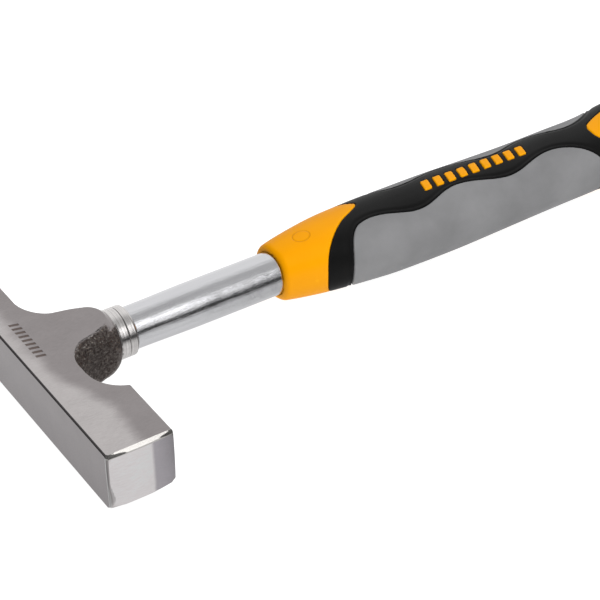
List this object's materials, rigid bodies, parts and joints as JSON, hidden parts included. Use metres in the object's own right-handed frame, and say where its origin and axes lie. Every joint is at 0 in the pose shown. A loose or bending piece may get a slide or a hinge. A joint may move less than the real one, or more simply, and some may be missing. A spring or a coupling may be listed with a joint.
{
  "type": "brick hammer",
  "caption": "Bricklayer's hammer with a square poll and a flared chisel blade on a forged head, a chromed tubular shaft and a contoured moulded grip in three colours.",
  "frame": {"origin": "where the shaft's axis meets the crown, the flat top of the head", "axes": "+X along the shaft from the crown to the butt, -Y towards the square poll, +Y towards the chisel blade, +Z out of the upper cheek with the hammer lying on its side"},
  "size_m": [0.2865, 0.1794, 0.035],
  "materials": {
    "ground_steel": "linished and lacquered, with a dark gritty forged boss",
    "turned_steel": "fine turned rings",
    "chrome_plate": "bright plated, slightly wavy",
    "plug_plastic": "matt moulded",
    "yellow_plastic": "semi-gloss moulded",
    "black_rubber": "satin soft-touch",
    "grey_rubber": "satin soft-touch"
  },
  "bodies": {
    "root": {"head": "ground_steel", "socket_ring": "turned_steel", "shaft_tube": "chrome_plate", "expander_plug": "turned_steel", "butt_plug": "plug_plastic", "grip_core": "yellow_plastic", "grip_skin": "black_rubber", "poll_side_pad": "grey_rubber", "blade_side_pad": "grey_rubber"}
  },
  "joints": []
}
